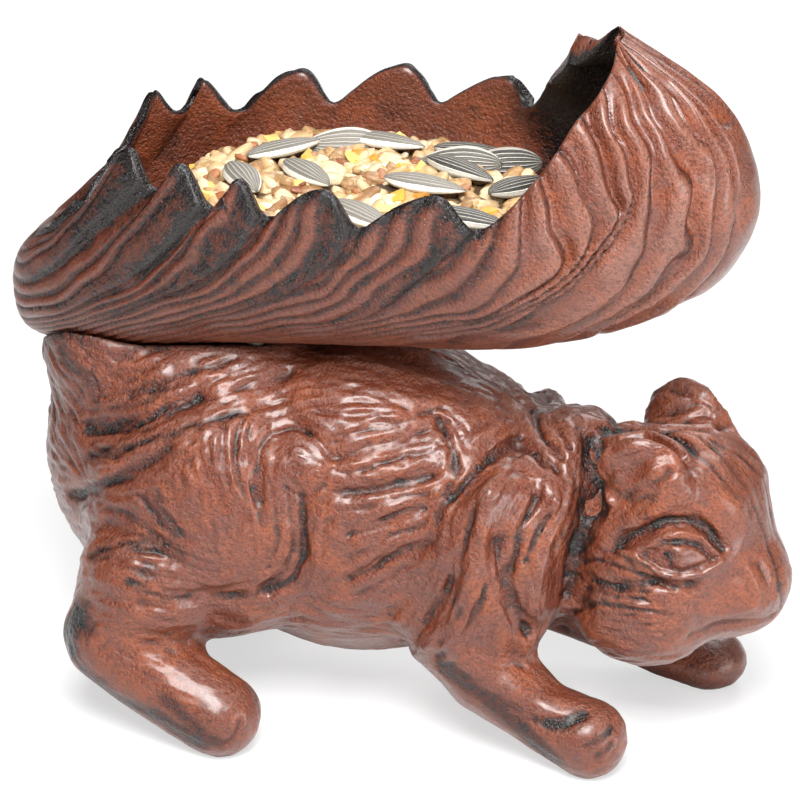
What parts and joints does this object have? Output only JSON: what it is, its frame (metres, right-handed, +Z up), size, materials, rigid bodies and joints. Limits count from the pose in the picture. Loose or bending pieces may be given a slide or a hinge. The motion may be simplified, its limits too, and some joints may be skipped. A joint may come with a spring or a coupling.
{
  "type": "squirrel-shaped seed feeder",
  "caption": "Cast-iron garden ornament of a crouching squirrel whose tail curls forward over its back as an open seed tray.",
  "frame": {"origin": "on the ground, under the middle of the feeder's bounding box", "axes": "+X from the tail's root towards the nose, +Y to the squirrel's left, +Z up"},
  "size_m": [0.1658, 0.0888, 0.1505],
  "materials": {
    "body_iron": "rust-brown satin paint rubbed over black, sand-cast grain with a carved coat of fur",
    "tray_iron": "rust-brown satin paint rubbed over black, deep swept ridges outside and a plainer pitted bowl inside",
    "screw_steel": "darkened zinc-plated steel with slotted heads",
    "grain": "matt dry wheat and cracked maize",
    "seed_husk": "matt dry husk, grey to black with pale stripes and a pale rim"
  },
  "bodies": {
    "casting": {"right_body_half": "body_iron", "left_body_half": "body_iron", "tail_tray": "tray_iron", "rear_body_screw": "screw_steel", "front_body_screw": "screw_steel", "right_tray_screw": "screw_steel", "left_tray_screw": "screw_steel", "right_tray_washer": "screw_steel", "left_tray_washer": "screw_steel"},
    "feed": {"grain_bed": "grain", "sunflower_seed_01": "seed_husk", "sunflower_seed_02": "seed_husk", "sunflower_seed_03": "seed_husk", "sunflower_seed_04": "seed_husk", "sunflower_seed_05": "seed_husk", "sunflower_seed_06": "seed_husk", "sunflower_seed_07": "seed_husk", "sunflower_seed_08": "seed_husk", "sunflower_seed_09": "seed_husk", "sunflower_seed_10": "seed_husk"}
  },
  "joints": [
    {"name": "feed_lift", "type": "slide", "parent": "casting", "child": "feed", "axis": [0, 0, 1], "range_m": [0, 0.06]}
  ]
}
